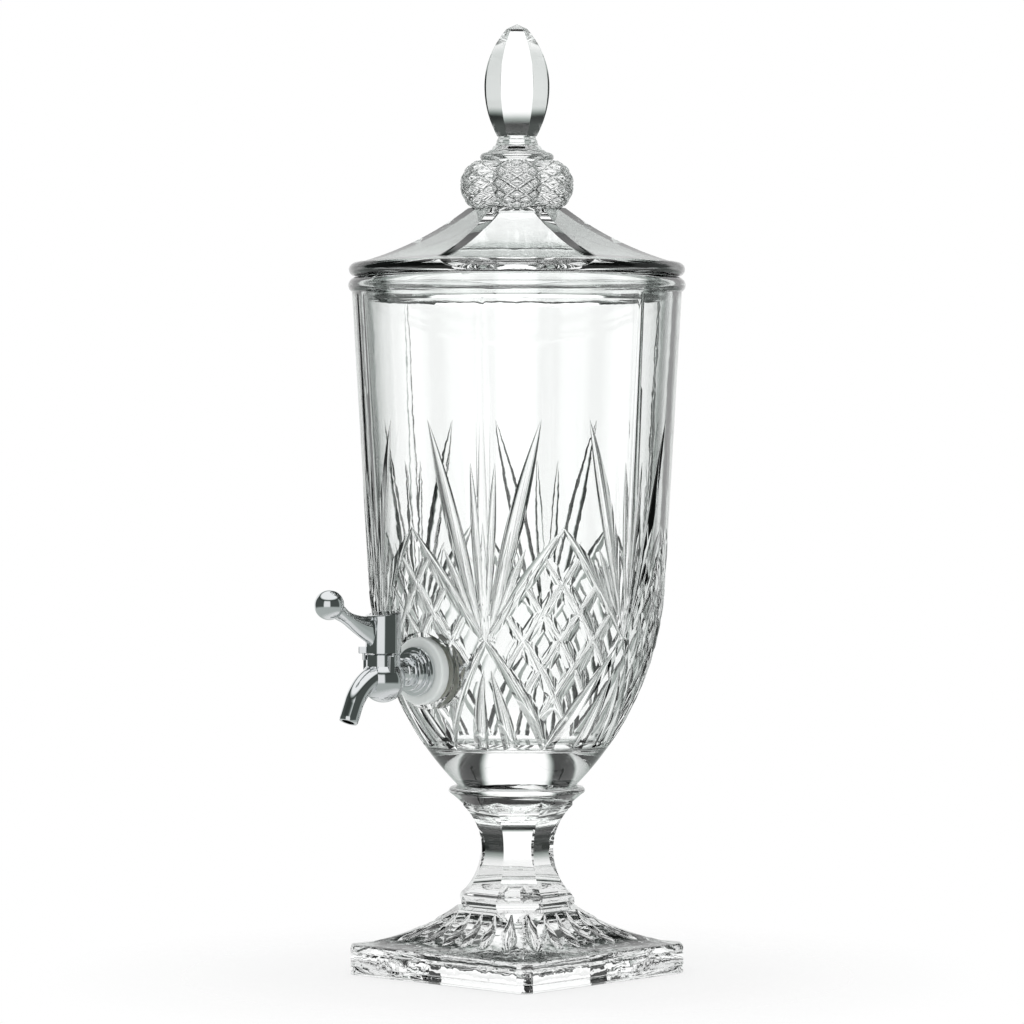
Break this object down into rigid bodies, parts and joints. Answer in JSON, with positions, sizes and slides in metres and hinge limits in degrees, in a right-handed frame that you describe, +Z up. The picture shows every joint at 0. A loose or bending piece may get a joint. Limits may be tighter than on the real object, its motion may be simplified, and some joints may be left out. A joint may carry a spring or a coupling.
{
  "type": "beverage dispenser",
  "caption": "Footed pressed-glass drink urn with a loose lid, a spired finial and a quarter-turn plug tap with a lever handle.",
  "frame": {"origin": "centre of the square foot's underside, on the axis of the bowl", "axes": "+Z up along the bowl's axis, the tap points along -Y, +X to the tap's left as seen from the front of the tap, the foot's sides lie along X and Y"},
  "size_m": [0.1776, 0.2366, 0.5],
  "materials": {
    "glass": "clear, polished",
    "bond": "clear cement",
    "chrome": "polished",
    "outer_silicone": "translucent milky silicone",
    "inner_silicone": "translucent warm silicone",
    "plug_plastic": "smooth acetal",
    "ring_rubber": "smooth, greased",
    "steel": "plain"
  },
  "bodies": {
    "base": {"pedestal": "glass", "bowl_bond": "bond", "bowl": "glass", "outer_washer": "outer_silicone", "inner_washer": "inner_silicone", "flat_washer": "steel", "lock_nut": "chrome", "tap_body": "chrome", "chamber_cap": "chrome"},
    "lid": {"lid": "glass", "finial_bond": "bond", "finial": "glass"},
    "handle": {"tap_handle": "chrome", "valve_plug": "plug_plastic", "plug_ring_upper": "ring_rubber", "plug_ring_lower": "ring_rubber", "stem_ring": "ring_rubber", "handle_screw": "steel", "handle_cap": "chrome"}
  },
  "joints": [
    {"name": "lid_lift", "type": "slide", "parent": "base", "child": "lid", "axis": [0, 0, 1], "range_m": [0, 0.1]},
    {"name": "handle_turn", "type": "hinge", "parent": "base", "child": "handle", "pos_m": [0, -0.10117, 0.16], "axis": [0, 0, 1], "range_deg": [0, 90]}
  ]
}
